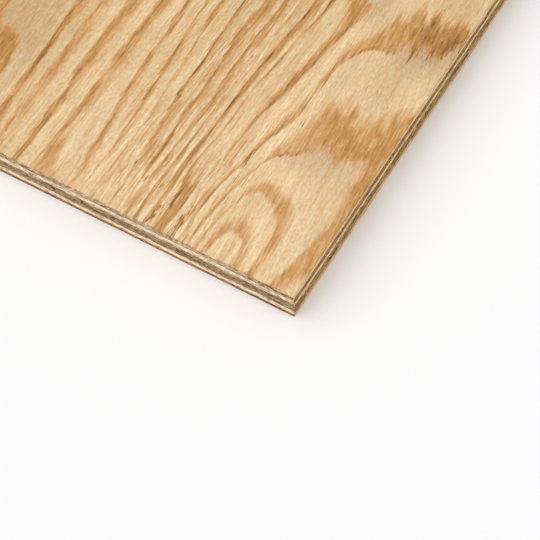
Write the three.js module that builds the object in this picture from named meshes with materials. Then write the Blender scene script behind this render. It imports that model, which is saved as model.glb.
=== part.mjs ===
// A sheet of five-ply softwood plywood, 4 ft x 8 ft x 23/32 in, lying face up.
//
// Five rotary-peeled veneers are bonded face to face, each with its grain square to the next:
// the face, centre and back plies run along the sheet, and the two crossbands run across it.
// The sheet is sawn square on all four sides after pressing, so the plies end flush with each
// other, and the outer arrises of the face and back are just eased.
//
// Millimetres. X runs along the sheet and its face grain, Y across it and Z up through the plies.
// The origin is the middle of the underside.

import * as THREE from "three";

// The sheet as it is sawn to size.
const SHEET_LENGTH = 2440;
const SHEET_WIDTH = 1220;

// The veneers as they come out of the press: 1/9, 1/6, 1/6, 1/6 and 1/8 in, less a little squeeze.
const BACK_PLY = 2.7;
const LOWER_CROSSBAND = 4.1;
const CENTRE_PLY = 4.2;
const UPPER_CROSSBAND = 4.1;
const FACE_PLY = 3.2;

// The radius that sanding and handling leave on the outer arrises.
const EASED_ARRIS = 0.4;
const ARRIS_STEPS = 3;

const QUARTER_TURN = Math.PI / 2;

// Softwood veneer, by the way its grain runs and how it was sorted.
const faceWood = wood("#e2c48f", 0.62);
const crossbandWood = wood("#d9bd95", 0.78);
const centreWood = wood("#cdae7d", 0.78);
const backWood = wood("#d6b682", 0.7);

function wood(color, roughness) {
  return new THREE.MeshStandardMaterial({ color, roughness, metalness: 0 });
}

// One rectangle of the sheet's outline at a height, drawn in by an even inset on all four sides.
function outlineAt(height, inset = 0) {
  return { height, halfLength: SHEET_LENGTH / 2 - inset, halfWidth: SHEET_WIDTH / 2 - inset };
}

// The rectangles that round an outer arris, from the full outline in to the flat of the veneer.
// `towards` is +1 where the veneer's flat is above its arris, and -1 where it is below.
function arrisOutlines(flat, towards) {
  const outlines = [];
  for (let step = 0; step <= ARRIS_STEPS; step++) {
    const turn = (QUARTER_TURN * step) / ARRIS_STEPS;
    const height = flat - towards * EASED_ARRIS * (1 - Math.sin(turn));
    outlines.push(outlineAt(height, EASED_ARRIS * (1 - Math.cos(turn))));
  }
  return outlines;
}

// A closed solid through a stack of rectangles, from the lowest up to the highest.
function loft(outlines) {
  const positions = [];
  for (const { height, halfLength, halfWidth } of outlines) {
    positions.push(-halfLength, -halfWidth, height);
    positions.push(halfLength, -halfWidth, height);
    positions.push(halfLength, halfWidth, height);
    positions.push(-halfLength, halfWidth, height);
  }

  const faces = [[3, 2, 1, 0]];
  for (let ring = 1; ring < outlines.length; ring++) {
    const below = 4 * (ring - 1);
    const above = 4 * ring;
    for (let side = 0; side < 4; side++) {
      const next = (side + 1) % 4;
      faces.push([below + side, below + next, above + next, above + side]);
    }
  }
  const top = 4 * (outlines.length - 1);
  faces.push([top, top + 1, top + 2, top + 3]);

  const geometry = new THREE.BufferGeometry();
  geometry.setAttribute("position", new THREE.Float32BufferAttribute(positions, 3));
  geometry.setIndex(faces.flatMap(([a, b, c, d]) => [a, b, c, a, c, d]));
  return geometry;
}

function ply(name, outlines, material) {
  const veneer = new THREE.Mesh(loft(outlines), material);
  veneer.name = name;
  veneer.geometry.computeVertexNormals();
  return veneer;
}

// The glue lines, counted up from the underside. Neighbouring plies share each one.
const backGlueLine = BACK_PLY;
const lowerGlueLine = backGlueLine + LOWER_CROSSBAND;
const upperGlueLine = lowerGlueLine + CENTRE_PLY;
const faceGlueLine = upperGlueLine + UPPER_CROSSBAND;
const faceTop = faceGlueLine + FACE_PLY;

const sheet = new THREE.Group();
sheet.name = "plywood_sheet";
sheet.add(
  ply("back_ply", [...arrisOutlines(0, -1).reverse(), outlineAt(backGlueLine)], backWood),
  ply("lower_crossband", [outlineAt(backGlueLine), outlineAt(lowerGlueLine)], crossbandWood),
  ply("centre_ply", [outlineAt(lowerGlueLine), outlineAt(upperGlueLine)], centreWood),
  ply("upper_crossband", [outlineAt(upperGlueLine), outlineAt(faceGlueLine)], crossbandWood),
  ply("face_ply", [outlineAt(faceGlueLine), ...arrisOutlines(faceTop, 1)], faceWood),
);

export default sheet;
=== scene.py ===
"""A sheet of five-ply softwood plywood on a white floor, seen at its near corner from above.

The CAD plies are flat boards. Here each one gets its sawn edges and its own wood: the face and
the back show growth rings cut by the peeling knife, and the edges show long grain and end grain
in turn. Lengths are in metres, but in millimetres where a name ends in _MM, and in drawing
units where a comment says so.
"""

import math

import bpy
import numpy as np
from mathutils import Matrix, Vector


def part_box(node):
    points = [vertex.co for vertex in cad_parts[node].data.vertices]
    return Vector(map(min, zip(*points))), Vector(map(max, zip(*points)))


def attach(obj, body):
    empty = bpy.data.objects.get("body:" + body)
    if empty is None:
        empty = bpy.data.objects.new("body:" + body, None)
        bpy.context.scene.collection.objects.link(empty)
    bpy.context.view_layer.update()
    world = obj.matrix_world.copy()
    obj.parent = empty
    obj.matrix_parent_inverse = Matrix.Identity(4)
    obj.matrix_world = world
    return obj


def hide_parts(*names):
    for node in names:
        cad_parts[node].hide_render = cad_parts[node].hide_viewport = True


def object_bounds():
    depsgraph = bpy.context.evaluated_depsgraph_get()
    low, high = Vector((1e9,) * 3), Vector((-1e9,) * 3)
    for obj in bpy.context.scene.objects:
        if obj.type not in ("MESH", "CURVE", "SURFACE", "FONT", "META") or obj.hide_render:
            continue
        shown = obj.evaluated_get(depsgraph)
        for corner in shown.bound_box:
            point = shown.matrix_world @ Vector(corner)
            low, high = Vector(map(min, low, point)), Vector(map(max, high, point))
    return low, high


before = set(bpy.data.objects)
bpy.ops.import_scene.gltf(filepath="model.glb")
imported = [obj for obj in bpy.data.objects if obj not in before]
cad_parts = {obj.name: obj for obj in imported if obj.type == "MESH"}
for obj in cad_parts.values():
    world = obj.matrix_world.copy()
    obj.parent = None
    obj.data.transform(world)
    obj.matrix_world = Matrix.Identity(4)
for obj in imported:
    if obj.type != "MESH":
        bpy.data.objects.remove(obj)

MM = 0.001
CAD_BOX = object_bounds()
LOW, HIGH = CAD_BOX
LENGTH, WIDTH = HIGH.x - LOW.x, HIGH.y - LOW.y


# ---- The growth rings ----
# Places are along and across the sheet from its near corner, in drawing units, and so are all
# the sizes in this part.

UNIT_ALONG, UNIT_ACROSS = 0.922 * MM, 0.911 * MM

# Bands of dark latewood near the corner: ring number, share of the ring that is tan, darkness of
# the tan, darkness of the thin line at its crisp edge, and places along that edge. The tan lies
# on the side where the ring number grows.
FACE_BANDS = [
    # The loops round the heart on the end, and the broad band that sweeps round them.
    (1, 0.52, 0.57, 0.1, [(0, 35.2), (10, 36.2), (15.5, 39.3)]),
    (1, 0.45, 0.2, 0, [(17, 42.5), (16, 46.3)]),
    (1, 0.5, 0.48, 0.2, [(10, 48.6), (0, 50.8)]),
    (2, 0.42, 0.54, 0, [(0, 27), (12, 26), (22, 26.7), (31, 28.8)]),
    (2, 0.38, 0.56, 0.1, [(36, 31.7), (38.5, 34)]),
    (2, 0.36, 0.43, 0.1, [(42, 38.5), (44, 44), (43, 48.5)]),
    (2, 0.25, 0.3, 0.3, [(33, 53), (15, 56), (0, 56.3)]),
    (3, 0.55, 0.56, 0, [(0, 13.5), (12, 11.7), (24, 9), (38, 5.7), (50, 4.8), (57, 5.6),
                        (62, 7.3), (70, 7.7), (80, 7.6)]),
    (3, 0.56, 0.52, 0.3, [(89, 10), (79, 17)]),
    (3, 0.56, 0.67, 0.3, [(76.5, 23), (80, 27)]),
    (3, 0.56, 0.54, 0.3, [(85, 28.8), (90, 31)]),
    (3, 0.66, 0.4, 0.7, [(77, 37), (69.5, 43), (68.5, 49)]),
    (3, 0.2, 0.4, 0.5, [(62, 53.5), (48, 57), (34, 60)]),
    (3, 0.2, 0.3, 0.4, [(15, 61.3), (0, 61.5)]),
    (4, 0.15, 0.45, 0.6, [(0, 66.7), (30, 66.2)]),
    (4, 0.3, 0.55, 0.75, [(48, 64), (66, 60.8), (82, 56.5), (98, 53.1)]),
    (4, 0.25, 0.52, 0.55, [(98, 53.1), (110, 52.9), (122, 52.6), (133, 51)]),
    (4, 0.46, 0.5, 0.7, [(148, 46.3), (151.8, 40), (152.9, 33), (158, 27.5)]),
    (4, 0.44, 0.95, 0.3, [(168.5, 22), (167, 16), (168.6, 6), (174, 0)]),
    (5, 0.3, 0.5, 0.6, [(0, 78), (20, 76), (40, 75), (57, 75)]),
    (5, 0.3, 0.5, 0.4, [(75, 73.2), (90, 70.8)]),
    (5, 0.85, 0.74, 0.1, [(94, 69.2), (101, 67.2), (113, 65.6), (125, 64)]),
    (5, 0.45, 0.62, 0.2, [(135, 63), (145, 61.2), (158, 58.6), (169, 56.8), (177, 53.2),
                          (184, 49)]),
    # The stripes beyond them, where the knife ran back down through the same rings.
    (5, 0.3, 0.55, 0.8, [(0, 82), (28, 81.3)]),
    (5, 0.25, 0.4, 0.5, [(60, 82.5), (85, 83.3)]),
    (5, 0.25, 0.45, 0.8, [(95, 83.2), (110, 82.6), (135, 80.4), (168, 77.7)]),
    (4, 0.5, 0.5, 0.5, [(0, 88), (30, 88.7)]),
    (4, 0.75, 0.5, 0.95, [(60, 89), (95, 88.9), (120, 88.1), (140, 86.2), (163, 84.6)]),
    (3, 0.25, 0.3, 0.5, [(0, 93), (20, 94.5), (55, 95)]),
    (3, 0.2, 0.2, 0.1, [(90, 95), (120, 94), (150, 92.5)]),
    (2, 0.4, 0.5, 0.3, [(0, 99.8), (25, 101)]),
    (2, 0.3, 0.15, 0, [(35, 100.3), (55, 99.6)]),
    (2, 0.8, 0.52, 0.4, [(62, 99.6), (90, 99.8)]),
    (2, 0.5, 0.55, 0.85, [(100, 99.9), (130, 100.8), (155, 99.8)]),
    (1, 0.3, 0.3, 0.1, [(0, 104.8), (20, 104.8)]),
    (1, 0.3, 0.6, 0.85, [(28, 104.6), (40, 104.4), (52, 105.4)]),
    (1, 0.45, 0.55, 0.6, [(65, 107), (95, 107.6), (112, 108.5)]),
    (1, 0.6, 0.5, 0.3, [(125, 112), (152, 110.5)]),
    (0, 0.3, 0.35, 0.3, [(0, 108.2), (15, 109.8)]),
    (0, 0.4, 0.55, 0.4, [(28, 112), (35, 112.5), (60, 114.8)]),
    (0, 0.35, 0.6, 0.9, [(68, 115.8), (80, 116.9), (105, 117.3), (130, 118.8), (145, 120.3)]),
    (-1, 0.3, 0.45, 0.3, [(0, 121.8), (20, 122.6)]),
    (-1, 0.2, 0.2, 0.1, [(35, 122.5), (50, 122.3)]),
    (-1, 0.3, 0.5, 0.6, [(60, 122.8), (85, 125.8), (108, 127.3)]),
    (-1, 0.35, 0.6, 0.7, [(118, 129.5), (128, 131.2), (138, 132)]),
    (-2, 0.2, 0.1, 0, [(0, 126), (20, 127.3)]),
    (-2, 0.5, 0.5, 0.3, [(32, 127.5), (50, 130)]),
    (-2, 0.3, 0.6, 0.7, [(58, 130.8), (75, 131.9), (95, 133.5)]),
    (-2, 0.4, 0.6, 0.5, [(105, 135.3), (120, 137), (136, 138.5)]),
    (-3, 0.35, 0.5, 0.2, [(0, 133.8), (20, 136.5)]),
    (-3, 0.35, 0.6, 0.3, [(35, 139), (50, 141.3), (60, 142.5)]),
    (-3, 0.3, 0.65, 0.6, [(75, 144), (100, 146.2), (130, 147.6)]),
    (-4, 0.56, 0.44, 0.1, [(0, 157), (7, 157.8)]),
    (-4, 0.4, 0.48, 0.1, [(15, 158.4), (26, 159.2)]),
    (-4, 0.52, 0.6, 0.1, [(40, 159.7), (60, 160.2), (90, 160.8), (118, 162)]),
    (-5, 0.44, 0.61, 0.2, [(0, 169.3), (7, 169.8), (15, 171.8), (26, 171.7), (36, 171.5),
                           (50, 172.8)]),
    (-5, 0.62, 0.65, 0.1, [(60, 174.2), (75, 175.8), (105, 176.8), (115, 177)]),
    (-6, 0.58, 0.46, 0.2, [(0, 184.7), (25, 187), (45, 187.7)]),
    (-6, 0.6, 0.52, 0.2, [(60, 188.4), (108, 190.6)]),
    (-7, 0.6, 0.54, 0.3, [(18, 195.3), (45, 198.5)]),
    (-7, 0.35, 0.8, 0.7, [(58, 198.4), (72, 198.7)]),
    (-7, 0.6, 0.66, 0.4, [(80, 200), (105, 202.5)]),
    # A brown patch at the foot of the next set of loops.
    (-7, 0.8, 0.62, 0, [(38, 205), (44, 207.8), (55, 210), (61, 211.8), (67, 215.5),
                        (71, 220), (72, 225), (70, 231)]),
]
# Ring numbers at places between the crisp edges: where the broad bands have faded out, in the
# middle of the loops, and where the rings turn back.
FACE_LEVELS = [
    (0.25, [(-2, 42.5)]),
    (0.45, [(6, 44)]),
    (1.22, [(22.5, 49.5)]),
    (1.6, [(28.5, 50), (29, 41)]),
    (2.87, [(62, 13), (79, 13)]),
    (3.8, [(0, 1)]),
    (3.3, [(3, 5)]),
    (3.46, [(14, -2)]),
    (3.5, [(126, 0), (127, 6), (121, 11), (110, 16), (106, 24), (112, 32), (105, 39), (109, 46)]),
    (4.45, [(193, 2), (191, 12), (191, 24), (186, 32), (182, 42)]),
    (5.75, [(40, 79.3), (90, 78.5), (130, 73.5)]),
    (-7.35, [(25, 199.5), (60, 204.5), (95, 210)]),
]
TRACED_REACH = 260  # the stretch from the near corner where these lines are
LINE_STEP = 9
ALONG_REACH, ACROSS_REACH = 42, 20  # how far a line bends the rings beside it
BEND_GIVE = 0.01  # lets the bend miss a point a little, to stay smooth
LOOK_ALONG, LOOK_ACROSS = 14, 10  # how far a band's own looks reach
LOOK_BEFORE, LOOK_RINGS = 0.2, 1  # from just before its crisp edge, for one ring
LOOK_FLOOR = 1e-3  # how little the log's own looks count beside a band's
# A band's crisp edge is this soft, and more so where the rings are far apart.
EDGE_SOFTNESS, SOFTNESS_GAIN, SOFTNESS_MOST = 0.9, 0.075, 5.5

# Marks on the face: place along and across, half length, half height and darkness.
FACE_STAINS = [
    (8, 71.5, 12, 2.2, 0.9), (22, 81.2, 10, 1.3, 1.25), (9, 85.5, 7, 1.8, 0.9),
    (2, 78, 4, 1.2, 0.9), (3, 87, 4, 1, 0.8), (24, 91.5, 5, 1, 0.6),
    (45, 104.6, 9, 0.9, 0.8), (29, 111.7, 3, 1, 1), (73, 115.2, 5, 1.1, 0.9),
    (96, 107.4, 4, 0.9, 1), (116, 96, 3, 0.9, 0.8), (60, 62.2, 7, 1.3, 1.05),
    (93, 48.7, 3, 0.9, 0.9), (64, 197, 8, 1.8, 1), (78, 197.2, 13, 1, 0.8),
    (31, 194, 5, 1.6, 0.7), (60, 208.5, 3, 1, 0.5), (44, 168.2, 7, 0.8, 0.7),
    (158, 20.7, 9, 0.6, 0.9), (161, 12, 6, 0.7, 0.5), (163, 8, 5, 0.6, 0.5),
    (105, 173.5, 6, 0.8, 0.7), (162, 14, 7, 9, 0.4),
]
# Where the knife tore the grain between the narrow rings, measured the same way.
FACE_TORN = [
    (26, 100, 34, 24, 0.9), (90, 105, 50, 22, 0.55), (24, 64, 32, 12, 0.9),
    (140, 100, 40, 20, 0.5),
]
# Where the edges of the broad bands are more ragged or less, measured the same way.
FACE_RAGGED = [
    (86, 27, 13, 13, 0.38), (112, 28, 12, 26, 0.6), (166, 13, 12, 14, 0.5), (185, 25, 14, 20, 0.6),
    (60, 170, 70, 30, 0.2), (152, 41, 9, 10, -0.25), (40, 7, 50, 9, -0.2),
    (90, 130, 80, 32, 0.25),
]
# Broad lighter and darker places in the pale wood, measured the same way.
FACE_PATCHES = [
    (16, 126.5, 14, 2.4, -0.8), (14, 117.5, 10, 1.8, -0.5), (112, 24, 9, 4, -0.3),
    (106, 19, 5, 6, -0.3), (20, 147, 26, 4, -0.4), (7, 42, 12, 6, -0.4),
    (95, 160, 26, 28, 0.22), (130, 30, 25, 28, 0.02), (175, 44, 13, 9, 0.65),
    (85, 218, 45, 20, 1.3), (178, 16, 18, 14, 0.3), (70, 175, 60, 25, 0.35),
    (165, 102, 50, 28, 0.85), (85, 105, 40, 25, 0.58), (30, 100, 25, 25, 0.12),
    (153, 17, 9, 15, 0.7), (198, 10, 9, 16, 0.55), (45, 9.5, 34, 3.5, 0.35),
]

MARK_FALLOFF = 0.7  # how fast a mark fades from its middle

# Ring number across the face where the log's own swells and hollows set it: (across, rings).
FACE_SWELLS = [
    (-60, 4.6), (0, 3.6), (45, 0.6), (79, 5.7), (106, 1.2), (132, -2), (165, -4.6), (200, -7.1),
    (228, -6.6), (290, -0.5), (350, 4), (430, 1.5), (510, -6), (600, -2.5), (690, 6.5),
    (770, 8.5), (860, 1.5), (940, -5), (1010, -3), (1090, 5), (1170, 7), (1240, 3),
]
BACK_SWELLS = [
    (-60, 9), (60, 5), (190, 2), (300, 5), (400, 11), (520, 14), (660, 12.5),
    (760, 7), (870, 3.5), (980, 6.5), (1090, 12), (1240, 14),
]
TAPER_RINGS = 0.0026  # rings that the log's taper adds with each unit along the sheet
SLOPE_STEP = 2  # how far apart ring numbers are compared
LEAST_SLOPE = 0.004  # rings to a unit, so that a level place has a spacing too
MOST_SPACING = 120
NOISE_CELLS = 97  # lattice cells before the noise comes round again
PART_SIZE = 20000  # places worked on at a time, to save memory


def smooth_noise(u, v, seed):
    """Value noise from -1 to 1 over a unit lattice, the same at each run."""
    lattice = np.random.default_rng(seed).uniform(-1, 1, (NOISE_CELLS, NOISE_CELLS))
    iu, iv = np.floor(u).astype(int), np.floor(v).astype(int)
    share_u, share_v = (f ** 3 * (f * (f * 6 - 15) + 10) for f in (u - iu, v - iv))

    def row(j):
        left = lattice[iu % NOISE_CELLS, j % NOISE_CELLS]
        right = lattice[(iu + 1) % NOISE_CELLS, j % NOISE_CELLS]
        return left * (1 - share_u) + right * share_u

    return row(iv) * (1 - share_v) + row(iv + 1) * share_v


def waver(along, across, height, length, breadth, seed):
    """Noise of this height whose features have this length along and breadth across."""
    return height * smooth_noise(along / length, across / breadth, seed)


def smooth_step(x, start, end):
    t = np.clip((x - start) / (end - start), 0, 1)
    return t * t * (3 - 2 * t)


def smooth_curve(x, knots):
    """A smooth curve through given knots."""
    at, height = np.array(knots, float).T
    slope = np.gradient(height, at)
    i = np.clip(np.searchsorted(at, x) - 1, 0, len(at) - 2)
    step = at[i + 1] - at[i]
    t = (x - at[i]) / step
    return (
        (2 * t ** 3 - 3 * t ** 2 + 1) * height[i] + (t ** 3 - 2 * t ** 2 + t) * step * slope[i]
        + (3 * t ** 2 - 2 * t ** 3) * height[i + 1] + (t ** 3 - t ** 2) * step * slope[i + 1]
    )


def log_rings(along, across, swells, seed, calm=0.0):
    """Ring number where the knife cut the log: swells across the sheet that wander along it.
    Within `calm` of the near end the swells run straight."""
    far = 1 - np.exp(-((along / calm) ** 2)) if calm else 1.0
    wander = waver(along, across, 38, 780, 640, seed)
    wander += waver(along, across, 10, 330, 170, seed + 1)
    rings = smooth_curve(across + wander * far, swells) + along * TAPER_RINGS
    rings += waver(along, across, 1.5, 420, 95, seed + 2) * far
    rings += waver(along, across, 0.5, 140, 36, seed + 3)
    return rings


def along_line(line):
    """Points at even steps along a line."""
    points = [line[-1]]
    for (a0, b0), (a1, b1) in zip(line, line[1:]):
        steps = max(1, round(math.hypot(a1 - a0, b1 - b0) / LINE_STEP))
        points += [(a0 + (a1 - a0) * k / steps, b0 + (b1 - b0) * k / steps) for k in range(steps)]
    return points


def line_points(table):
    """Along, across and what the table says of the line, at even steps along each line."""
    return np.array([
        (*place, *facts) for *facts, line in table for place in along_line(line)
    ], float)


def pull(along, across, points):
    """How strongly each line point bends the rings at each place."""
    da = (along[:, None] - points[None, :, 0]) / ALONG_REACH
    db = (across[:, None] - points[None, :, 1]) / ACROSS_REACH
    distance = np.hypot(da, db)
    return np.exp(-distance) * (1 + distance)


def in_parts(function, along, across):
    """Runs a function over long lists of places a part at a time."""
    return np.concatenate([
        function(along[start:start + PART_SIZE], across[start:start + PART_SIZE])
        for start in range(0, len(along), PART_SIZE)
    ])


def face_rings(along, across):
    """Ring number on the face: the log's own figure, bent near the corner to its ring lines."""
    settings = dict(swells=FACE_SWELLS, seed=3, calm=TRACED_REACH)
    points = np.concatenate([line_points(FACE_BANDS)[:, :3], line_points(FACE_LEVELS)])
    miss = points[:, 2] - log_rings(points[:, 0], points[:, 1], **settings)
    stiffness = pull(points[:, 0], points[:, 1], points) + BEND_GIVE * np.eye(len(points))
    weights = np.linalg.solve(stiffness, miss)
    bend = in_parts(lambda a, b: pull(a, b, points) @ weights, along, across)
    return log_rings(along, across, **settings) + bend


def back_rings(along, across):
    """Ring number on the back, which is the log's own figure throughout."""
    return log_rings(along, across, swells=BACK_SWELLS, seed=31)


def ring_spacing(rings_of, along, across):
    """Distance between one ring and the next, at each place."""
    step = SLOPE_STEP
    slope_along = (rings_of(along + step, across) - rings_of(along - step, across)) / (2 * step)
    slope_across = (rings_of(along, across + step) - rings_of(along, across - step)) / (2 * step)
    return np.minimum(1 / (np.hypot(slope_along, slope_across) + LEAST_SLOPE), MOST_SPACING)


def marks(along, across, places):
    """The soft shapes of the listed marks, added together."""
    total = np.zeros(len(along))
    for a, b, half_length, half_height, darkness in places:
        d = ((along - a) / half_length) ** 2 + ((across - b) / half_height) ** 2
        total += darkness * np.exp(-MARK_FALLOFF * d)
    return total


def wood_figure(along, across, rings_of, seed, bands=None):
    """What a peeled face's material reads of its rings at each place."""
    rings = rings_of(along, across)
    spacing = ring_spacing(rings_of, along, across)
    vary = smooth_noise(along / 170, rings * 0.63, seed)
    vary_more = smooth_noise(along / 230, rings * 0.81, seed + 1)
    narrow = 1 - smooth_step(spacing, 12, 30)
    looks = np.stack([
        0.26 + 0.2 * smooth_step(spacing, 8, 40) + 0.12 * vary_more,  # share of the ring
        0.55 + 0.13 * vary,  # darkness of the tan
        narrow * (0.45 + 0.45 * vary_more),  # darkness of the line
    ], 1)
    if bands is not None:
        near = (along < TRACED_REACH) & (across < TRACED_REACH)
        a, b, ring = along[near, None], across[near, None], rings[near, None]
        apart = ((a - bands[:, 0]) / LOOK_ALONG) ** 2 + ((b - bands[:, 1]) / LOOK_ACROSS) ** 2
        past_start = ring - bands[:, 2] + LOOK_BEFORE
        weight = np.exp(-apart) * (past_start > 0) * (past_start < LOOK_RINGS)
        total = weight @ bands[:, 3:] + LOOK_FLOOR * looks[near]
        looks[near] = total / (weight.sum(1) + LOOK_FLOOR)[:, None]
    share, tan, dark = looks.T
    softness = np.minimum(EDGE_SOFTNESS + SOFTNESS_GAIN * spacing, SOFTNESS_MOST)
    rings = rings + 0.5 * softness / spacing  # the middle of the soft edge lies on the line
    return {"rings": rings, "spacing": spacing, "share": share, "tan": tan, "dark_line": dark}


def torn_places(along, across, spacing, seed):
    """How torn the grain is, from 0 to 1: in patches, where the rings are narrow."""
    patches = waver(along, across, 1, 260, 45, seed)
    return smooth_step(patches, 0.0, 0.6) * (1 - smooth_step(spacing, 10, 22))


def fibre_lean(along, across):
    """How far the fibres have moved across the face since the near end."""
    by_edge = 32 * np.tanh(along / 260) * (1 - smooth_step(across, 30, 75))
    inside = 1.2 * (1 - np.exp(-along / 50)) * smooth_step(across, 55, 90)
    beyond = 12 * (1 - np.exp(-along / 90)) * smooth_step(across, 168, 200)
    return by_edge + inside + beyond + waver(along, across, 1.5, 160, 60, 21)


def face_figure(along, across):
    figure = wood_figure(along, across, face_rings, 11, line_points(FACE_BANDS))
    far = smooth_step(np.hypot(along, across), 230, 300)
    torn = far * torn_places(along, across, figure["spacing"], 15)
    figure["torn"] = np.minimum(torn + marks(along, across, FACE_TORN), 1)
    figure["ragged"] = 0.25 + 0.25 * far + 0.3 * figure["torn"] + marks(along, across, FACE_RAGGED)
    figure["fibre"] = across - fibre_lean(along, across)
    figure["stain"] = marks(along, across, FACE_STAINS)
    figure["patch"] = marks(along, across, FACE_PATCHES)
    return figure


def back_figure(along, across):
    figure = wood_figure(along, across, back_rings, 37)
    figure["torn"] = torn_places(along, across, figure["spacing"], 39)
    figure["ragged"] = 0.5 + 0.5 * figure["torn"]
    figure["fibre"] = across
    return figure


# ---- The plies as meshes ----

FINE_ALONG, FINE_ACROSS = 0.237, 0.217  # the stretch from the near corner with a fine mesh
ALONG_STEPS = (0.003, 0.018)  # fine and coarse
ACROSS_STEPS = (0.001, 0.009)
CORNER_CELL = 0.003  # the first and last grid step, which the corner lies in
CORNER_RADIUS = 1.0 * MM  # the sheet's corners are knocked a little round
CORNER_STATIONS = 4

EASE = 0.4 * MM  # the rounded outer arris of the face and the back
FACE_SKIN = 0.6 * MM  # how far the shown wood runs on past the arris of a long side
ARRIS_BOW = 0.3  # how far the arris lies from the flat and the wall at its middle, as a share
SAW_STEP = 0.1 * MM  # how far one sawn ply stands behind the next
SAW_ROUGH = 0.06 * MM
GLUE_WANDER = 0.3 * MM  # how far a glue line strays up and down along the edge
DRIFT_REACH = 0.12  # how far from the near corner a glue line's own drift dies out
DRIFT_BLEND = 0.003  # how near the corner one side's drift turns into the other's
# Each glue line's drift in millimetres on the long side and on the end, from the lowest up.
GLUE_DRIFTS_MM = [(0.45, 0), (0, 0), (0.25, 0.15), (0, -0.7)]
# Waves that run round the outline: height as a share, length and seed.
SAW_WAVES = [(1.0, 0.006, 70)]
GLUE_WAVES = [(0.7, 0.055, 43), (0.3, 0.011, 44)]
GLUE_SEEDS = 3  # from one glue line's seeds to the next one's
WEAR_WAVES = [(0.5, 0.0032, 90), (0.3, 0.013, 95)]
WAVE_SHIFT = (0.37, 0.61)  # keeps the outline off the lattice of the noise

# How the map of a ply is shared out: the flats' share and strips below, the four walls above.
INNER_FLATS, LOWER_FLAT, UPPER_FLAT = 0.4, (0, 0.19), (0.2, 0.39)
OUTER_FLATS, SHOWN_FLAT, GLUED_FLAT = 0.9, (0, 0.84), (0.85, 0.89)
WALL_MARGIN = 0.05


def grid_lines(length, fine_reach, steps):
    """Distances from the near corner of the lines of the mesh, over one side of the sheet."""
    fine, coarse = steps
    near = np.arange(CORNER_CELL, fine_reach, fine)
    far = np.linspace(fine_reach, length - CORNER_CELL, round((length - fine_reach) / coarse))
    return np.concatenate([[0], near, far, [length]])


GRID_ALONG = grid_lines(LENGTH, FINE_ALONG, ALONG_STEPS)
GRID_ACROSS = grid_lines(WIDTH, FINE_ACROSS, ACROSS_STEPS)


def rim_stations():
    """Stations round the outline, anticlockwise from the near corner. Each has its place, the
    side that the wall after it belongs to, and its grid point. A corner's stations share one."""
    end, far = len(GRID_ALONG) - 1, len(GRID_ACROSS) - 1
    corners = [(0, 0), (end, 0), (end, far), (0, far)]
    sides = [
        [(i, 0) for i in range(1, end)], [(end, j) for j in range(1, far)],
        [(i, far) for i in range(end - 1, 0, -1)], [(0, j) for j in range(far - 1, 0, -1)],
    ]
    stations = []
    for side, (i, j) in enumerate(corners):
        middle_x = LOW.x + GRID_ALONG[i] + (-CORNER_RADIUS if i else CORNER_RADIUS)
        middle_y = LOW.y + GRID_ACROSS[j] + (-CORNER_RADIUS if j else CORNER_RADIUS)
        for k in range(CORNER_STATIONS):
            turn = math.pi / 2 * (2 + side + k / (CORNER_STATIONS - 1))
            x = middle_x + CORNER_RADIUS * math.cos(turn)
            y = middle_y + CORNER_RADIUS * math.sin(turn)
            owner = side if k >= CORNER_STATIONS / 2 else (side - 1) % 4
            stations.append((x, y, owner, (i, j)))
        stations += [
            (LOW.x + GRID_ALONG[i], LOW.y + GRID_ACROSS[j], side, (i, j)) for i, j in sides[side]
        ]
    return stations


RIM = rim_stations()
RIM_X, RIM_Y = np.array([station[:2] for station in RIM]).T
RIM_ALONG, RIM_ACROSS = RIM_X - LOW.x, RIM_Y - LOW.y


def inset_ring(inset, z):
    """The outline's stations drawn in by `inset`, one number or one for each station."""
    x = np.clip(RIM_X, LOW.x + inset, HIGH.x - inset)
    y = np.clip(RIM_Y, LOW.y + inset, HIGH.y - inset)
    return np.stack([x, y, np.broadcast_to(z, x.shape)], 1)


def rim_waves(waves, seed_shift):
    """The waves at each station of the outline."""
    u, v = WAVE_SHIFT
    return sum(
        height * smooth_noise(RIM_ALONG / length + u, RIM_ACROSS / length + v, seed + seed_shift)
        for height, length, seed in waves
    )


def glue_line(level, number, side_drift, end_drift):
    """Height of a glue line at each station. By the near corner it drifts off on either side."""
    on_side = smooth_step(RIM_ALONG - RIM_ACROSS, -DRIFT_BLEND, DRIFT_BLEND)
    drift = end_drift + (side_drift - end_drift) * on_side
    near = np.exp(-((np.hypot(RIM_ALONG, RIM_ACROSS) / DRIFT_REACH) ** 2))
    wander = rim_waves(GLUE_WAVES, GLUE_SEEDS * number)
    return level + GLUE_WANDER * wander + drift * MM * near


def sawn_inset(number):
    """How deep each station of a ply lies behind the CAD outline: the plies saw unevenly."""
    return SAW_STEP * (number % 2) + SAW_ROUGH * (1 + rim_waves(SAW_WAVES, number))


def add_object(name, data):
    made = bpy.data.objects.new(name, data)
    bpy.context.scene.collection.objects.link(made)
    return made


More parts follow.
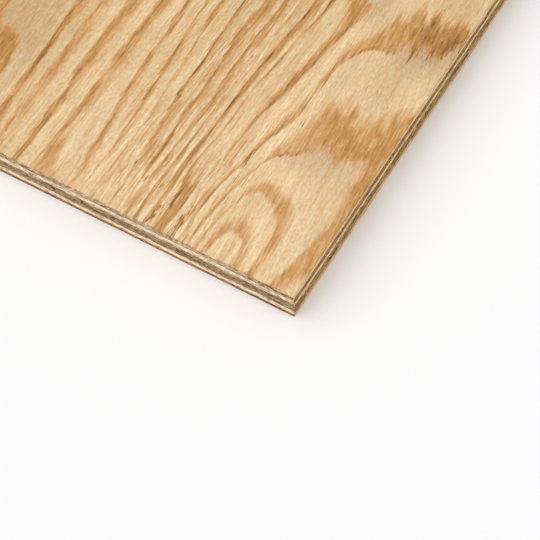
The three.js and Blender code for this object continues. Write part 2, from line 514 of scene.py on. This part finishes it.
class Ply:
    """Vertices and faces of one veneer. Its map is shared out between the flats and the walls."""

    def __init__(self, name, materials, flat_share):
        self.name, self.materials, self.flat_share = name, materials, flat_share
        self.vertices, self.depths = [], []
        self.faces, self.face_materials, self.places_on_map = [], [], []

    def add_vertices(self, points, depth):
        """Adds points. Depth runs from 0 at the ply's lower side to 1 at its upper."""
        first = len(self.vertices)
        self.vertices.extend(map(tuple, points))
        self.depths.extend([depth] * len(points))
        return list(range(first, len(self.vertices)))

    def add_face(self, corners, material, places):
        """Adds a face, with the places of its corners on the map."""
        self.faces.append(corners)
        self.face_materials.append(self.materials.index(material))
        self.places_on_map.extend(places)

    def on_flat(self, corner, low, high):
        """Place on the map of a vertex of the flat, in the strip from low to high."""
        x, y, _ = self.vertices[corner]
        return (x - LOW.x) / LENGTH, low + (high - low) * (y - LOW.y) / WIDTH

    def on_wall(self, corner, side, share):
        """Place on the map of a vertex of a wall."""
        x, y, _ = self.vertices[corner]
        run = (x - LOW.x) / LENGTH if side % 2 == 0 else (y - LOW.y) / WIDTH
        strip = (1 - self.flat_share) / 4
        height = WALL_MARGIN + (1 - 2 * WALL_MARGIN) * share
        return run, self.flat_share + strip * (side + height)

    def bridge(self, lower, upper, shares, side_material, end_material):
        """Walls between two rings of stations. `shares` is where each ring lies on the map."""
        for k in range(len(lower)):
            n = (k + 1) % len(lower)  # the next station
            side = RIM[k][2]
            corners = (lower[k], lower[n], upper[n], upper[k])
            rows = (shares[0], shares[0], shares[1], shares[1])
            places = [self.on_wall(c, side, row) for c, row in zip(corners, rows)]
            self.add_face(corners, side_material if side % 2 == 0 else end_material, places)

    def add_flat(self, corners, upwards, material, strip):
        """Adds part of a flat face. The corners run anticlockwise as seen from above."""
        corners = corners if upwards else corners[::-1]
        self.add_face(corners, material, [self.on_flat(c, *strip) for c in corners])

    def close(self, ring, z, depth, upwards, material, strip):
        """A hidden flat face across a ring, where the ply is glued to its neighbour."""
        (middle,) = self.add_vertices([(0, 0, z)], depth)
        for pair in zip(ring, ring[1:] + ring[:1]):
            self.add_flat((middle, *pair), upwards, material, strip)

    def surface(self, ring, z, depth, upwards, material, strip):
        """A shown face over the whole grid, joined to its arris ring."""
        nx, ny = len(GRID_ALONG), len(GRID_ACROSS)
        vertices_at = {}
        for vertex, (_, _, _, point) in zip(ring, RIM):
            vertices_at.setdefault(point, []).append(vertex)
        inner = [(i, j) for i in range(1, nx - 1) for j in range(1, ny - 1)]
        places = [(LOW.x + GRID_ALONG[i], LOW.y + GRID_ACROSS[j], z) for i, j in inner]
        for point, vertex in zip(inner, self.add_vertices(places, depth)):
            vertices_at[point] = [vertex]
        for i in range(nx - 1):
            for j in range(ny - 1):
                square = ((i, j), (i + 1, j), (i + 1, j + 1), (i, j + 1))
                corners = [vertex for point in square for vertex in vertices_at[point]]
                self.add_flat(corners, upwards, material, strip)

    def build(self, node, figure_of=None):
        """Makes the piece, which stands for the CAD node of this ply. What `figure_of` gives
        for each vertex is stored there, for the material to read."""
        mesh = bpy.data.meshes.new(self.name)
        mesh.from_pydata(self.vertices, [], self.faces)
        for material in self.materials:
            mesh.materials.append(material)
        mesh.polygons.foreach_set("material_index", self.face_materials)
        mesh.uv_layers.new(name="OFBake").data.foreach_set("uv", np.ravel(self.places_on_map))
        stored = {"depth": np.array(self.depths)}
        if figure_of:
            x, y = np.array(self.vertices).T[:2]
            stored |= figure_of((x - LOW.x) / UNIT_ALONG, (y - LOW.y) / UNIT_ACROSS)
        for name, values in stored.items():
            attribute = mesh.attributes.new(name, "FLOAT", "POINT")
            attribute.data.foreach_set("value", values.astype(np.float32))
        mesh.update()
        piece = add_object(self.name, mesh)
        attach(piece, "root")
        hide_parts(node)


# ---- Wood ----

def linear(hex_colour):
    """A colour written as #rrggbb, as the shader takes it."""
    channels = [int(hex_colour[k:k + 2], 16) / 255 for k in (1, 3, 5)]
    return (*(c / 12.92 if c <= 0.04045 else ((c + 0.055) / 1.055) ** 2.4 for c in channels), 1)


NOISE_ROUGHNESS = 0.55
SHADE_PARTS = (0.75, 1.0, 1.35)  # how much of a shade red, green and blue take


class Nodes:
    """A node tree, built node by node."""

    def __init__(self, tree):
        self.tree = tree

    def plug(self, socket, value):
        """Feeds a socket from another node, or sets it to a number, vector or #rrggbb colour."""
        if isinstance(value, bpy.types.NodeSocket):
            self.tree.links.new(value, socket)
        else:
            socket.default_value = linear(value) if isinstance(value, str) else value

    def node(self, kind, inputs=(), **settings):
        made = self.tree.nodes.new("ShaderNode" + kind)
        for name, value in settings.items():
            setattr(made, name, value)
        for socket, value in dict(inputs).items():
            self.plug(made.inputs[socket], value)
        return made

    def math(self, operation, *values, clamp=False):
        made = self.node("Math", enumerate(values), operation=operation, use_clamp=clamp)
        return made.outputs[0]

    def chain(self, operation, values):
        result = values[0]
        for value in values[1:]:
            result = self.math(operation, result, value)
        return result

    def total(self, *values):
        return self.chain("ADD", values)

    def product(self, *values):
        return self.chain("MULTIPLY", values)

    def highest(self, *values):
        return self.chain("MAXIMUM", values)

    def scaled(self, value, factor, base=1.0):
        """The base plus the value times the factor."""
        return self.math("MULTIPLY_ADD", value, factor, base)

    def blend(self, share, first, second):
        """From the first number to the second as `share` goes from 0 to 1."""
        return self.scaled(share, self.math("SUBTRACT", second, first), first)

    def rise(self, value, start, end, low=0.0, high=1.0):
        """Low up to start, and smoothly up to high at end. It falls if start is the greater."""
        made = self.node("MapRange", {
            "Value": value, "From Min": start, "From Max": end, "To Min": low, "To Max": high,
        }, interpolation_type="SMOOTHSTEP")
        return made.outputs["Result"]


class Material(Nodes):
    """A material with one shader."""

    def __init__(self, name, roughness, specular):
        self.material = bpy.data.materials.new(name)
        self.material.use_nodes = True
        super().__init__(self.material.node_tree)
        self.shader = self.tree.nodes["Principled BSDF"].inputs
        self.plug(self.shader["Roughness"], roughness)
        self.plug(self.shader["Specular IOR Level"], specular)


class Wood(Material):
    """One procedural wood. Its noise is laid out over `place`, which is the CAD frame in metres
    to begin with."""

    def __init__(self, name, roughness, specular):
        super().__init__(name, roughness, specular)
        self.place = self.node("TexCoord").outputs["Object"]

    def stored(self, name):
        """A number stored on the vertices."""
        return self.node("Attribute", attribute_name=name).outputs["Fac"]

    def noise(self, size, strength=1.0, detail=2.0, shift=(0.0, 0.0, 0.0)):
        """Noise whose features are about `size` on each axis, from -strength to strength."""
        inputs = {"Location": shift, "Scale": [1 / s for s in size], "Vector": self.place}
        vector = self.node("Mapping", inputs).outputs[0]
        inputs = {"Vector": vector, "Scale": 1.0, "Detail": detail, "Roughness": NOISE_ROUGHNESS}
        raw = self.node("TexNoise", inputs).outputs["Fac"]
        return self.scaled(raw, 2 * strength, -strength)

    def ramp(self, value, stops):
        """A number or colour for each value, through the given stops."""
        made = self.node("ValToRGB", {"Fac": value})
        elements = made.color_ramp.elements
        elements[0].position, elements[1].position = stops[0][0], stops[-1][0]
        for position, _ in stops[1:-1]:
            elements.new(position)
        for element, (_, colour) in zip(elements, stops):
            is_hex = isinstance(colour, str)
            element.color = linear(colour) if is_hex else (colour, colour, colour, 1)
        return made.outputs["Color"]

    def mix(self, share, first, second):
        """From the first colour to the second as `share` goes from 0 to 1."""
        inputs = {0: share, 6: first, 7: second}
        return self.node("Mix", inputs, data_type="RGBA").outputs[2]

    def shaded(self, colour, amount):
        """The colour made lighter, or darker and warmer, by `amount`, a share of itself."""
        factors = [self.scaled(amount, part) for part in SHADE_PARTS]
        tint = self.node("CombineXYZ", enumerate(factors)).outputs[0]
        made = self.node("VectorMath", {0: colour, 1: tint}, operation="MULTIPLY")
        return made.outputs[0]

    def finish(self, colour, height, depth):
        """The material in this colour, with a height from 0 to 1 that stands for `depth`."""
        self.plug(self.shader["Base Color"], colour)
        bump = self.node("Bump", {"Height": height, "Strength": 1.0, "Distance": depth})
        self.plug(self.shader["Normal"], bump.outputs[0])
        return self.material


# The pale wood from its lighter to its darker places, the dark wood by its darkness, and how
# much of the pale wood the dark wood covers.
PALE = [(0.0, "#fbe8c2"), (0.5, "#edcfa4"), (1.0, "#ceb07e")]
LATEWOOD = [(0.0, "#e3b076"), (0.45, "#d19c5f"), (0.65, "#c38e52"), (0.85, "#a97d4a"),
            (1.0, "#8f612f")]
COVER = [(0.0, 0.0), (0.35, 0.6), (0.6, 0.95), (0.7, 1.0)]
STRAW, ROSY, YELLOW = "#e2ca98", "#f1cba8", "#f0dba4"
RUSSET, OCHRE = "#cf9263", "#d4a563"
# GLINT is the colour of the painted highlights on the torn grain.
FRINGE, GLINT, TORN_END = "#c0a084", "#f8e4bd", "#7d6244"
# The colour of the painted shade inside open gaps between the cut fibres of end grain.
GAP_SHADE = "#3c2a18"


class VeneerFace(Wood):
    """The peeled surface of a veneer, drawn from the figure stored on its vertices. Its places
    and sizes are in drawing units, and all the noise follows the lean of the fibres."""

    def __init__(self, name, marked):
        super().__init__(name, roughness=0.65, specular=0.12)
        self.marked = marked
        self.x = self.node("SeparateXYZ", {0: self.place}).outputs[0]
        axes = (self.math("DIVIDE", self.x, UNIT_ALONG), self.stored("fibre"))
        self.place = self.node("CombineXYZ", enumerate(axes)).outputs[0]
        self.spacing, self.torn = self.stored("spacing"), self.stored("torn")
        self.turn = self.math("FRACT", self.torn_rings())  # from one crisp edge to the next
        self.through = self.math("DIVIDE", self.turn, self.stored("share"))
        self.past = self.product(self.turn, self.spacing)  # beyond the crisp edge
        self.ahead = self.product(self.scaled(self.turn, -1), self.spacing)  # before the next one
        self.hue = self.fibres(10, 3.5, 1, detail=3, shift=(1, 4))

    def fibres(self, length, breadth, strength, detail=2.0, shift=(0, 0)):
        """Noise whose features have this length along the fibres and breadth across them."""
        return self.noise((length, breadth, 1), strength, detail, (*shift, 0))

    def torn_rings(self):
        """The ring number, where torn fibres shift a ring's edge along the grain."""
        teeth = self.fibres(20, 1.4, 0.26, detail=3, shift=(6, 9))
        sway = self.total(
            self.fibres(26, 4.2, 0.38, detail=4),
            self.product(teeth, self.rise(self.spacing, 20, 50, 1, 0.45)),
            self.fibres(50, 7.0, 0.22, shift=(3, 7)),
            self.fibres(8, 0.9, 0.12, shift=(11, 2)),
        )
        return self.scaled(sway, self.stored("ragged"), self.stored("rings"))

    def latewood(self):
        """Darkness of the tan, which sets in at the crisp edge and fades through the ring."""
        spacing, through, tan = self.spacing, self.through, self.stored("tan")
        cloud = self.fibres(15, 1.8, 1.5, detail=4, shift=(5, 1))
        cloud = self.product(cloud, self.rise(spacing, 8, 26, 1, 0.38))
        mottle = self.fibres(8, 2.8, 0.68, detail=3, shift=(2, 6))
        cloud = self.scaled(mottle, self.rise(spacing, 16, 30), cloud)
        fade = self.blend(
            self.rise(spacing, 6, 11), self.rise(through, 1.6, 0.3), self.rise(through, 1.3, 0.45)
        )
        fade = self.blend(self.rise(spacing, 16, 26), fade, self.rise(through, 1.2, 0.7))
        deep = self.rise(tan, 0.62, 0.84)
        fade = self.product(fade, self.scaled(self.product(through, deep), -0.42))
        softness = self.scaled(spacing, SOFTNESS_GAIN, EDGE_SOFTNESS)
        softness = self.math("MINIMUM", softness, SOFTNESS_MOST)
        onset = self.rise(self.math("DIVIDE", self.past, softness), 0, 1)
        return self.product(tan, fade, onset, self.total(cloud, 1.05))

    def thin_line(self):
        """Darkness of the thin line at the crisp edge."""
        line = self.math("DIVIDE", self.past, self.rise(self.spacing, 12, 36, 1, 2.6))
        breaks = self.fibres(22, 3.0, 1.3, detail=3, shift=(6, 6))
        return self.product(
            self.stored("dark_line"), self.rise(line, 0.1, 0.9), self.rise(line, 2.4, 1.2),
            self.total(breaks, 0.95)
        )

    def stains(self):
        rough = self.fibres(7, 0.9, 1.3, shift=(2, 3))
        return self.rise(self.total(self.stored("stain"), rough), 0.5, 0.95, 0, 0.92)

    def torn_marks(self):
        """Darkness of the short ticks and splits, most of them where the grain is torn."""
        ticks = self.scaled(self.torn, 0.14, self.fibres(12, 1, 1, detail=1, shift=(1, 9)))
        splits = self.rise(self.fibres(16, 1.3, 1, detail=3, shift=(7, 7)), 0.1, 0.45)
        return self.highest(
            self.rise(ticks, 0.46, 0.66, 0, 0.72),
            self.product(splits, self.scaled(self.torn, 0.24, 0.12)),
        )

    def fibre_streaks(self):
        """Streaks lighter and darker than the wood, calmer where the rings are broad."""
        streaks = self.total(
            self.fibres(16, 1.2, 0.28, detail=5, shift=(2, 2)),
            self.fibres(80, 5.5, 0.27, shift=(8, 5)),
        )
        return self.product(streaks, self.rise(self.spacing, 14, 30, 1, 0.7))

    def darkness(self, streaks):
        """How dark the wood is at each place, from 0 in pale wood to 1 in the darkest line."""
        layers = [self.latewood(), self.thin_line(), self.torn_marks()]
        if self.marked:
            layers.append(self.stains())
        darkness = self.highest(*layers)
        smudges = self.rise(self.fibres(26, 2.6, 1, detail=4, shift=(4, 8)), -0.45, 0.45)
        haze = self.product(
            smudges, self.scaled(self.torn, 0.36, 0.16), self.rise(darkness, 0.75, 0.15)
        )
        darkness = self.total(darkness, haze)
        return self.math("SUBTRACT", darkness, streaks, clamp=True)

    def pale_wood(self):
        """Colour of the wood between the bands."""
        patch = self.fibres(100, 20, 0.7, shift=(5, 1))
        if self.marked:
            patch = self.total(patch, self.stored("patch"))
        pale = self.ramp(self.scaled(patch, 0.5, 0.5), PALE)
        straw = self.rise(self.fibres(90, 22, 1, shift=(9, 3)), -0.1, 0.35, 0, 0.6)
        even = self.product(self.rise(patch, 1, 0.3), self.rise(patch, -0.8, -0.3))
        pale = self.mix(self.product(straw, even), pale, STRAW)
        pale = self.mix(self.rise(self.hue, 0, 0.5, 0, 0.55), pale, ROSY)
        pale = self.mix(self.rise(self.hue, 0, -0.5, 0, 0.45), pale, YELLOW)

        beside = self.highest(self.rise(self.turn, 0.5, 1), self.rise(self.through, 0.3, 0.1))
        ragged = self.total(self.stored("ragged"), 0.1)
        fringe = self.product(self.rise(self.spacing, 12, 30), beside, ragged)
        pale = self.mix(fringe, pale, FRINGE)
        middling = self.product(self.rise(self.spacing, 8, 14), self.rise(self.spacing, 30, 20))
        rim = self.product(self.rise(self.ahead, 7, 2, 0, 0.055), middling)
        return self.shaded(pale, rim)

    def dark_wood(self, darkness):
        """Colour of the bands, lines and marks."""
        late = self.ramp(darkness, LATEWOOD)
        late = self.mix(self.rise(self.hue, 0.05, 0.5, 0, 0.32), late, RUSSET)
        return self.mix(self.rise(self.hue, -0.05, -0.5, 0, 0.2), late, OCHRE)

    def glints(self, darkness):
        """Painted highlights on the torn fibres, most of them just before a crisp edge."""
        flecks = self.fibres(16, 1.4, 1, shift=(3, 1))
        before = self.product(self.rise(self.ahead, 2.2, 0.6), self.rise(flecks, -0.25, 0.15), 0.8)
        bright = self.highest(before, self.rise(flecks, 0.05, 0.35))
        return self.product(bright, self.torn, self.rise(darkness, 0.75, 0.35, 0, 0.8))

    def end_dirt(self):
        """How dirty the wood is by the sawn ends, where its fibres are torn."""
        from_end = self.math("SUBTRACT", LENGTH / 2, self.math("ABSOLUTE", self.x))
        splinters = self.fibres(4, 1.1, 1, detail=4)
        dirt = self.rise(self.scaled(from_end, 1 / MM, splinters), 0.7, 0)
        dashes = self.math("ADD", self.fibres(20, 7.0, 1.8, shift=(0, 5)), 0.5, clamp=True)
        return self.product(dirt, dashes)

    def surface(self, tone):
        """The whole material. A tone below 1 makes it darker and warmer."""
        streaks = self.fibre_streaks()
        darkness = self.darkness(streaks)
        colour = self.mix(self.ramp(darkness, COVER), self.pale_wood(), self.dark_wood(darkness))
        # Painted highlights, where light would catch the raised torn grain.
        colour = self.mix(self.glints(darkness), colour, GLINT)
        colour = self.mix(self.end_dirt(), colour, TORN_END)
        grain = self.total(
            self.fibres(2.4, 1.4, 0.31, detail=3, shift=(4, 4)),
            self.fibres(10, 1.3, 0.28, detail=3, shift=(7, 1)),
        )
        rough = self.product(grain, self.rise(self.spacing, 26, 10, 1.045, 1.21))
        colour = self.shaded(colour, self.scaled(streaks, 0.35, rough))
        if tone != 1.0:
            colour = self.shaded(colour, tone - 1.0)
        height = self.total(streaks, self.product(grain, 0.2), self.product(darkness, 0.6))
        return self.finish(colour, height, 0.45 * MM)


def long_grain_edge(name, light, dark, band):
    """A sawn edge that the grain runs along. `band` is the depth where the wood is brown, the
    depth where it is pale, and how brown it is."""
    wood = Wood(name, roughness=0.75, specular=0.2)
    # Noise is stretched the same both ways in plan, because the grain runs along either side.
    depth = wood.total(
        wood.stored("depth"),
        wood.noise((0.03, 0.03, 1), 0.14), wood.noise((0.005, 0.005, 1), 0.08),
    )
    streaks = wood.noise((0.01, 0.01, 0.0008), 1.0, detail=3)
    specks = wood.noise((0.0026, 0.0026, 0.0012), 1.3, detail=3, shift=(6, 2, 4))
    blotches = wood.noise((0.022, 0.022, 0.0025), 0.28, shift=(3, 3, 3))
    brown = wood.product(wood.rise(depth, band[1], band[0]), band[2])
    share = wood.math("ADD", wood.total(streaks, specks, blotches, brown), 0.18, clamp=True)
    colour = wood.mix(share, light, dark)
    return wood.finish(colour, wood.total(streaks, specks), 0.2 * MM)


def end_grain_edge(name, light, dark, hue):
    """A sawn edge across the grain: cut fibre ends, with the rings as fine leaning lines."""
    wood = Wood(name, roughness=0.85, specular=0.15)
    fibres = wood.noise((0.0018, 0.0018, 0.001), 1.2, detail=3)
    rings = wood.noise((0.008, 0.008, 0.001), 1.3, detail=4, shift=(5, 5, 5))
    checks = wood.noise((0.0016, 0.0016, 0.003), 0.5, detail=1, shift=(9, 9, 9))
    from_middle = wood.math("ABSOLUTE", wood.total(wood.stored("depth"), -0.5))
    dashes = wood.total(wood.noise((0.005, 0.005, 0.005), 1.6, shift=(4, 1, 8)), 0.3)
    by_glue = wood.product(wood.rise(from_middle, 0.38, 0.5), dashes)
    share = wood.math("ADD", wood.total(fibres, rings, checks, by_glue), 0.44, clamp=True)
    colour = wood.mix(share, light, dark)
    warm = wood.noise((0.006, 0.006, 0.001), 0.8, shift=(1, 2, 3))
    colour = wood.mix(wood.rise(warm, 0.05, 0.5), colour, hue)
    # Painted shade in the open gaps between cut fibres.
    gaps = wood.noise((0.004, 0.004, 0.0012), 1.0, detail=2, shift=(2, 7, 1))
    colour = wood.mix(wood.product(wood.rise(gaps, 0.34, 0.5), 0.8), colour, GAP_SHADE)
    return wood.finish(colour, wood.total(fibres, checks), 0.4 * MM)


face_wood = VeneerFace("face_veneer", marked=True).surface(tone=1.0)
back_wood = VeneerFace("back_veneer", marked=False).surface(tone=0.93)
ALL_PALE = (0, 0.2, 0)
# Partly painted light: the side woods take a warmer, yellower tint that stands for warm light
# bounced onto the long sides, and the end woods a pinker one for the light on the ends. The pale
# colours are set lighter than the wood to make up for the shade on the walls.
EDGES = {
    "back_ply": (
        long_grain_edge("back_side", "#f6cb90", "#8f6a3e", ALL_PALE),
        end_grain_edge("back_end", "#b88c5c", "#5e4228", "#94693f"),
    ),
    "lower_crossband": (
        end_grain_edge("lower_side", "#d2a462", "#563813", "#a2763d"),
        long_grain_edge("lower_end", "#fde6c8", "#86694a", (0.68, 0.52, 0.8)),
    ),
    "centre_ply": (
        long_grain_edge("centre_side", "#ffe2b2", "#7e5828", (0.38, 0.55, 0.7)),
        end_grain_edge("centre_end", "#bc9c76", "#544028", "#a07a5c"),
    ),
    "upper_crossband": (
        end_grain_edge("upper_side", "#c99b5e", "#503311", "#9a6d37"),
        long_grain_edge("upper_end", "#f8dfc0", "#927456", (0.1, 0.28, 0.7)),
    ),
    "face_ply": (
        long_grain_edge("face_side", "#ffdda8", "#c4945a", ALL_PALE),
        end_grain_edge("face_end", "#dcbc94", "#725439", "#b08a64"),
    ),
}


# ---- The five plies, from the underside up ----

NODES = ["back_ply", "lower_crossband", "centre_ply", "upper_crossband", "face_ply"]
LEVELS = [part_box(node)[0].z for node in NODES] + [HIGH.z]
GLUE = [None, *(
    glue_line(level, number, *GLUE_DRIFTS_MM[number])
    for number, level in enumerate(LEVELS[1:-1])
), None]


def inner_ply(number):
    """A ply between two others: sawn walls, closed by flat faces that stay hidden."""
    node = NODES[number]
    side, end = EDGES[node]
    ply = Ply(f"{node}_veneer", [side, end], INNER_FLATS)
    inset = sawn_inset(number)
    low, high = GLUE[number], GLUE[number + 1]
    depths = (0, 0.5, 1)
    rings = [
        ply.add_vertices(inset_ring(inset, low + (high - low) * depth), depth)
        for depth in depths
    ]
    for k in (0, 1):
        ply.bridge(rings[k], rings[k + 1], depths[k:k + 2], side, end)
    ply.close(rings[0], LEVELS[number], 0, False, side, LOWER_FLAT)
    ply.close(rings[-1], LEVELS[number + 1], 1, True, side, UPPER_FLAT)
    ply.build(node)


def outer_ply(number, shown_wood, figure_of):
    """The face or the back: a shown surface, a worn arris, and sawn walls to its glue line."""
    node = NODES[number]
    side, end = EDGES[node]
    ply = Ply(f"{node}_veneer", [shown_wood, side, end], OUTER_FLATS)
    upwards = number == len(NODES) - 1
    flat, glued = (LEVELS[number + 1], GLUE[number]) if upwards else (LEVELS[0], GLUE[1])
    inward = -1 if upwards else 1
    inset = sawn_inset(number)
    worn = EASE * (1 + rim_waves(WEAR_WAVES, number))
    bow = ARRIS_BOW * worn
    skin = flat + inward * (worn + FACE_SKIN)
    # Inset, height and depth of each ring, from the shown surface to the glue line.
    rows = [
        (inset + worn, flat, 0),
        (inset + bow, flat + inward * bow, 0.04),
        (inset, flat + inward * worn, 0.13),
        (inset, skin, 0.35),
        (inset, (skin + glued) / 2, 0.7),
        (inset, glued, 1),
    ]
    rings = [
        ply.add_vertices(inset_ring(gap, z), 1 - depth if upwards else depth)
        for gap, z, depth in rows
    ]
    for k in range(len(rows) - 1):
        pair, shares = rings[k:k + 2], (rows[k][2], rows[k + 1][2])
        if upwards:
            pair, shares = pair[::-1], shares[::-1]
        # The shown wood runs over the arris, and on the long sides a little past it.
        woods = (shown_wood if k < 3 else side, shown_wood if k < 2 else end)
        ply.bridge(*pair, shares, *woods)
    ply.surface(rings[0], flat, float(upwards), upwards, shown_wood, SHOWN_FLAT)
    hidden = LEVELS[number] if upwards else LEVELS[1]
    ply.close(rings[-1], hidden, float(not upwards), not upwards, side, GLUED_FLAT)
    ply.build(node, figure_of)


outer_ply(0, back_wood, back_figure)
inner_ply(1)
inner_ply(2)
inner_ply(3)
outer_ply(4, face_wood, face_figure)


# ---- Floor, light and camera ----

FLOOR_REACH = 30.0
FLOOR_GAP = 0.05 * MM  # how far the floor lies below the sheet, so that they don't merge
FLOOR_WHITE = 0.975
SKY_LIGHT = 0.55  # light from the even surroundings, which look pure white themselves
SUN_LIGHT = 0.45  # what the softbox adds on a level surface
SUN_ELEVATION = math.radians(55)
SUN_AZIMUTH = math.radians(145)  # where the light comes from, anticlockwise from +X
SUN_WIDTH = math.radians(90)

FRAME_PX = 540.0
SENSOR_MM = 36.0
LENS_PX = 1420.0  # focal length in pixels of a 540-pixel frame
VIEW_AZIMUTH = math.radians(-53.79)
VIEW_ELEVATION = math.radians(58.55)
VIEW_ROLL = math.radians(5.95)
CORNER_PX = (292.9, 297.2)  # where the face's near corner lies, from the frame's top left
CORNER_DISTANCE = 0.624  # from the camera to that corner, along the view's axis
NEAR_CLIP = 0.02


def make_floor():
    mesh = bpy.data.meshes.new("floor")
    signs = ((-1, -1), (1, -1), (1, 1), (-1, 1))
    corners = [(FLOOR_REACH * x, FLOOR_REACH * y, LOW.z - FLOOR_GAP) for x, y in signs]
    mesh.from_pydata(corners, [], [(0, 1, 2, 3)])
    floor = add_object("floor", mesh)
    white = Material("floor_white", roughness=1.0, specular=0.0)
    white.plug(white.shader["Base Color"], (FLOOR_WHITE, FLOOR_WHITE, FLOOR_WHITE, 1))
    mesh.materials.append(white.material)


def direction(azimuth, elevation):
    """The unit vector at these angles, anticlockwise from +X and up from level."""
    level = math.cos(elevation)
    return Vector((math.cos(azimuth) * level, math.sin(azimuth) * level, math.sin(elevation)))


def make_light():
    """A softbox on the left of the picture, in white surroundings. The level face renders in
    the colours that its material is given."""
    sun = bpy.data.lights.new("softbox", "SUN")
    sun.energy = math.pi * SUN_LIGHT / math.sin(SUN_ELEVATION)
    sun.angle = SUN_WIDTH
    lamp = add_object("softbox", sun)
    lamp.rotation_mode = "QUATERNION"
    lamp.rotation_quaternion = direction(SUN_AZIMUTH, SUN_ELEVATION).to_track_quat("Z", "Y")

    world = bpy.data.worlds.new("white")
    bpy.context.scene.world = world
    world.use_nodes = True
    nodes = Nodes(world.node_tree)
    background = nodes.tree.nodes["Background"].inputs
    nodes.plug(background["Color"], (1, 1, 1, 1))
    path = nodes.node("LightPath").outputs
    seen = nodes.highest(path["Is Camera Ray"], path["Is Glossy Ray"])
    nodes.plug(background["Strength"], nodes.scaled(seen, 1 - SKY_LIGHT, SKY_LIGHT))


def make_camera():
    """A camera that looks down at the near corner, which lies at CORNER_PX in the frame."""
    ahead = direction(VIEW_AZIMUTH + math.pi / 2, -VIEW_ELEVATION)
    level_right = direction(VIEW_AZIMUTH, 0)
    level_down = ahead.cross(level_right)
    right = math.cos(VIEW_ROLL) * level_right + math.sin(VIEW_ROLL) * level_down
    down = ahead.cross(right)
    across_px, down_px = (place - FRAME_PX / 2 for place in CORNER_PX)
    sight = ahead + right * (across_px / LENS_PX) + down * (down_px / LENS_PX)
    near_corner = Vector((LOW.x, LOW.y, HIGH.z))

    camera = add_object("camera", bpy.data.cameras.new("camera"))
    camera.data.sensor_width = SENSOR_MM
    camera.data.lens = SENSOR_MM * LENS_PX / FRAME_PX
    camera.data.clip_start = NEAR_CLIP
    axes = Matrix((right, -down, -ahead)).transposed().to_4x4()
    camera.matrix_world = Matrix.Translation(near_corner - sight * CORNER_DISTANCE) @ axes
    bpy.context.scene.camera = camera


make_floor()
make_light()
make_camera()
bpy.context.scene.view_settings.view_transform = "Standard"
